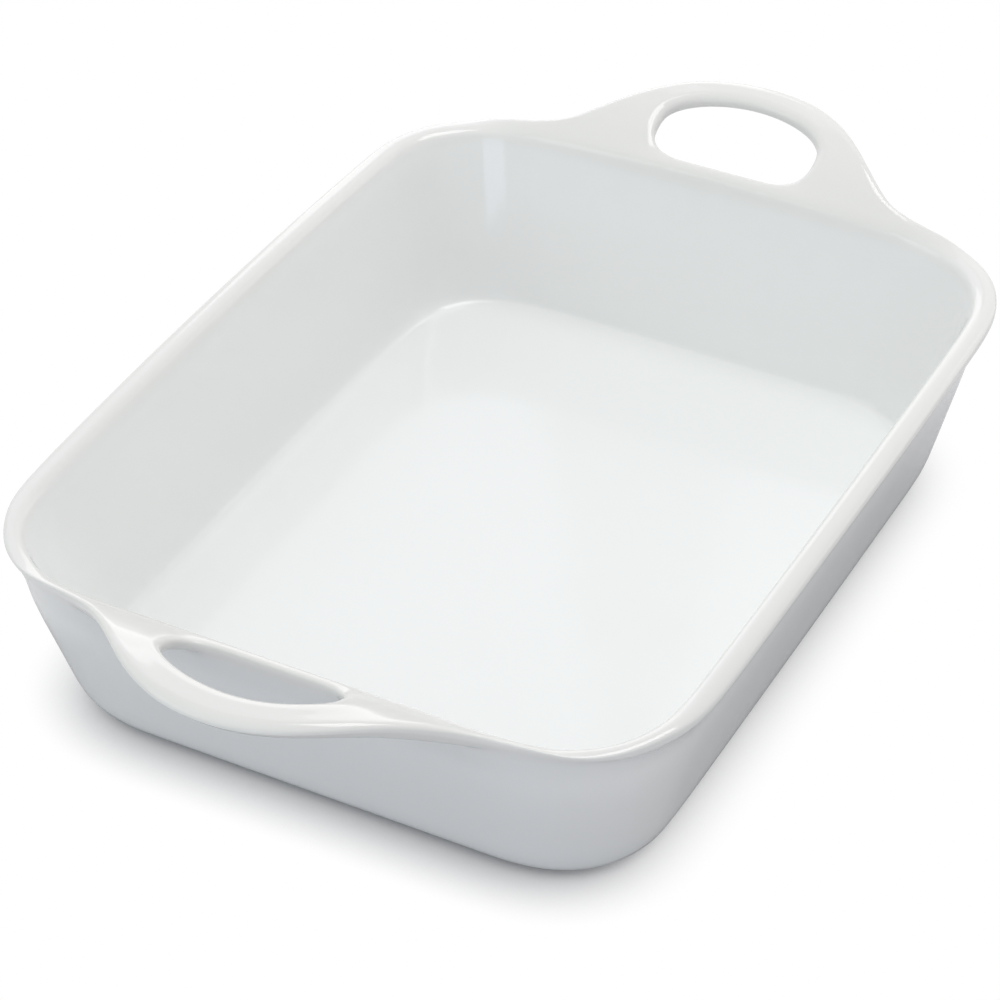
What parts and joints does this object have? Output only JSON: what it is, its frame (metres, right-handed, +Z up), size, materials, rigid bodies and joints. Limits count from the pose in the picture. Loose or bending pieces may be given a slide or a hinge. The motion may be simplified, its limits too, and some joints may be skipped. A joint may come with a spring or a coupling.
{
  "type": "lasagna dish",
  "caption": "Rectangular white glazed porcelain baking dish with sloping walls, a turned-out lip and a raised loop handle on each short side.",
  "frame": {"origin": "centre of the dish on the plane it stands on", "axes": "+X along the length from the near handle to the far handle, +Y across the width, +Z up out of the basin"},
  "size_m": [0.42, 0.2566, 0.0891],
  "materials": {
    "glaze": "glossy clear glaze over white porcelain",
    "bare_foot": "unglazed, ground flat, matt"
  },
  "bodies": {
    "root": {"foot_ring": "bare_foot", "basin": "glaze", "rim_lip": "glaze", "near_handle": "glaze", "far_handle": "glaze"}
  },
  "joints": []
}
